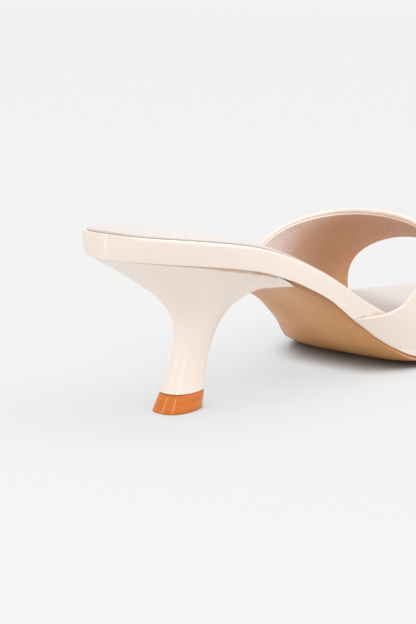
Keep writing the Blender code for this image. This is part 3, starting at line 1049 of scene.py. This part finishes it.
# Broad suns: direction they come from, strength, angle across in degrees
SUNS = (
    ("window", (0.66, -0.60, 0.9), 0.95, 50),
    ("ceiling", (0.15, 0.13, 1.0), 0.6, 40),
)

# Strip lights: place, width, height, power; all face the rim's back
STRIPS = (
    ("side_strip", (-0.75, 0.45, 0.35), 0.12, 0.7, 0.8),
    ("front_strip", (-0.80, -0.62, 0.50), 0.20, 0.7, 1.6),
)
STRIP_AIM = (-0.09, 0, 0.03)

# Camera: place, turn about the vertical, dip, roll (degrees), lens (mm on a 36 mm long side)
CAMERA_PLACE = (-0.44252, -0.30629, 0.13275)
CAMERA_TURN = 50.481
CAMERA_DIP = 11.992
CAMERA_ROLL = 0.419
CAMERA_LENS = 83.41


def add_camera():
    turn, dip, roll = (math.radians(v) for v in (CAMERA_TURN, CAMERA_DIP, CAMERA_ROLL))
    ahead = Vector((math.sin(turn) * math.cos(dip), math.cos(turn) * math.cos(dip), -math.sin(dip)))
    right = Vector((math.cos(turn), -math.sin(turn), 0.0))
    up = right.cross(ahead)
    x = right * math.cos(roll) + up * math.sin(roll)
    y = up * math.cos(roll) - right * math.sin(roll)
    pose = Matrix((x, y, -ahead)).transposed().to_4x4()
    pose.translation = Vector(CAMERA_PLACE)
    data = bpy.data.cameras.new("camera")
    data.lens = CAMERA_LENS
    data.sensor_width = 36.0
    data.sensor_fit = "AUTO"
    data.clip_start = 0.01
    data.clip_end = 50.0
    camera = bpy.data.objects.new("camera", data)
    camera.matrix_world = pose
    bpy.context.scene.collection.objects.link(camera)
    bpy.context.scene.camera = camera


def add_light(name, at, wide, high, power):
    data = bpy.data.lights.new(name, "AREA")
    data.shape = "RECTANGLE"
    data.size = wide
    data.size_y = high
    data.energy = power
    light = bpy.data.objects.new(name, data)
    light.location = at
    light.rotation_euler = (Vector(STRIP_AIM) - Vector(at)).to_track_quat("-Z", "Y").to_euler()
    bpy.context.scene.collection.objects.link(light)


def add_stage():
    corners = ((-1, -1), (1, -1), (1, 1), (-1, 1))
    points = [(FLOOR_HALF * x, FLOOR_HALF * y, 0.0) for x, y in corners]
    mesh = bpy.data.meshes.new("floor")
    mesh.from_pydata(points, [], [(0, 1, 2, 3)])
    floor = bpy.data.objects.new("floor", mesh)
    bpy.context.scene.collection.objects.link(floor)
    mesh.materials.append(floor_finish())
    world = bpy.data.worlds.new("studio")
    world.use_nodes = True
    world.node_tree.nodes["Background"].inputs["Color"].default_value = (1.0, 1.0, 1.0, 1.0)
    world.node_tree.nodes["Background"].inputs["Strength"].default_value = WORLD_LIGHT
    bpy.context.scene.world = world
    for name, source, power, angle in SUNS:
        data = bpy.data.lights.new(name, "SUN")
        data.energy = power
        data.angle = math.radians(angle)
        light = bpy.data.objects.new(name, data)
        light.rotation_euler = (-Vector(source)).to_track_quat("-Z", "Y").to_euler()
        bpy.context.scene.collection.objects.link(light)
    for strip in STRIPS:
        add_light(*strip)


def dress(piece, mat, slot, *nodes):
    piece.data.materials.clear()
    piece.data.materials.append(mat)
    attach(piece, "root")
    if nodes:
        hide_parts(*nodes)


def feathered_low(x, u):
    bevel = lookup(FEATHER, "bevel", x / LENGTH)
    return rise(x) + crown(x, u) + bevel * clamp((abs(u) - BEVEL_START) / (1 - BEVEL_START)) ** 2


def edge_half(x, side):
    # The sole's edge is skived in behind the heel's tongues
    skive = SKIVE_DEPTH * (1 - smooth((x - TAB_END + SKIVE_LEAD) / SKIVE_RUN))
    return max(tab_half(x, side) - skive, 0.0005)


def sole_top(x, u):
    return sole_high(x, u) + CLEAR - JOINT_LINE


def sock_bottom(x, u):
    return bed_high(x, u) + JOINT_LINE


def sock_top(x, u):
    wide = sock_half(x, 1 if u > 0 else -1)
    inside = min((1 - abs(u)) * wide, x - SOCK_INSET_BACK, LENGTH - SOCK_INSET_BALL - x)
    return sock_bottom(x, u) + SOCK_EDGE + (SOCK_THICK - SOCK_SETTLE) * smooth(inside / SOCK_SLOPE)


def build():
    cream = cream_leather("cream_leather")
    heel_cream = cream_leather("heel_leather")
    pale = cream_leather("sock_leather")
    tan = sole_leather()

    xs = stations(TAB_START, LENGTH, STATIONS)
    rings, marks = plate_rings(xs, edge_half, feathered_low, sole_top, SOLE_ROUND, SOLE_ROUND, no_tuck)
    dress(loft("outsole_leather", rings, marks), tan, "tan_leather", "outsole")

    xs = stations(0.0, LENGTH, STATIONS)
    rings = plate_rings(xs, half, bed_low, bed_high, RIM_ROUND_LOW, RIM_ROUND_TOP, seat_tuck)[0]
    footbed = loft("footbed_wrap", rings)

    xs = stations(SOCK_INSET_BACK, LENGTH - SOCK_INSET_BALL, STATIONS)
    rounds = (SOCK_ROUND_LOW, SOCK_ROUND_TOP)
    rings = plate_rings(xs, sock_half, sock_bottom, sock_top, *rounds, no_tuck)[0]
    sock = loft("sock_pad", rings)
    dress(sock, pale, "pale_lining", "sock")

    grid = smooth_grid(band_grid(), 2)
    normal = grid_normals(grid)
    leather = band_shell("band_leather", grid, normal)
    dress(leather, cream, "cream_leather", "upper")
    lining = band_shell("band_lining", grid, normal, True)
    dress(lining, lining_leather(), "pale_lining", "upper")
    filler = band_shell("band_edge_line", grid, normal)
    dress(filler, joint_shade_finish(), "tan_leather", "upper")
    pocket = band_shell("pocket", grid, normal)
    cut(footbed, pocket)
    dress(footbed, cream, "cream_leather", "footbed")

    dress(build_heel(), heel_cream, "cream_heel", "heel")
    dress(build_seam(), joint_shade_finish(), "tan_leather", "heel")
    dress(build_tip(), top_piece_finish(), "tan_top_piece", "heel_tip")


bpy.context.scene.view_settings.view_transform = "Standard"
add_camera()
add_stage()
build()
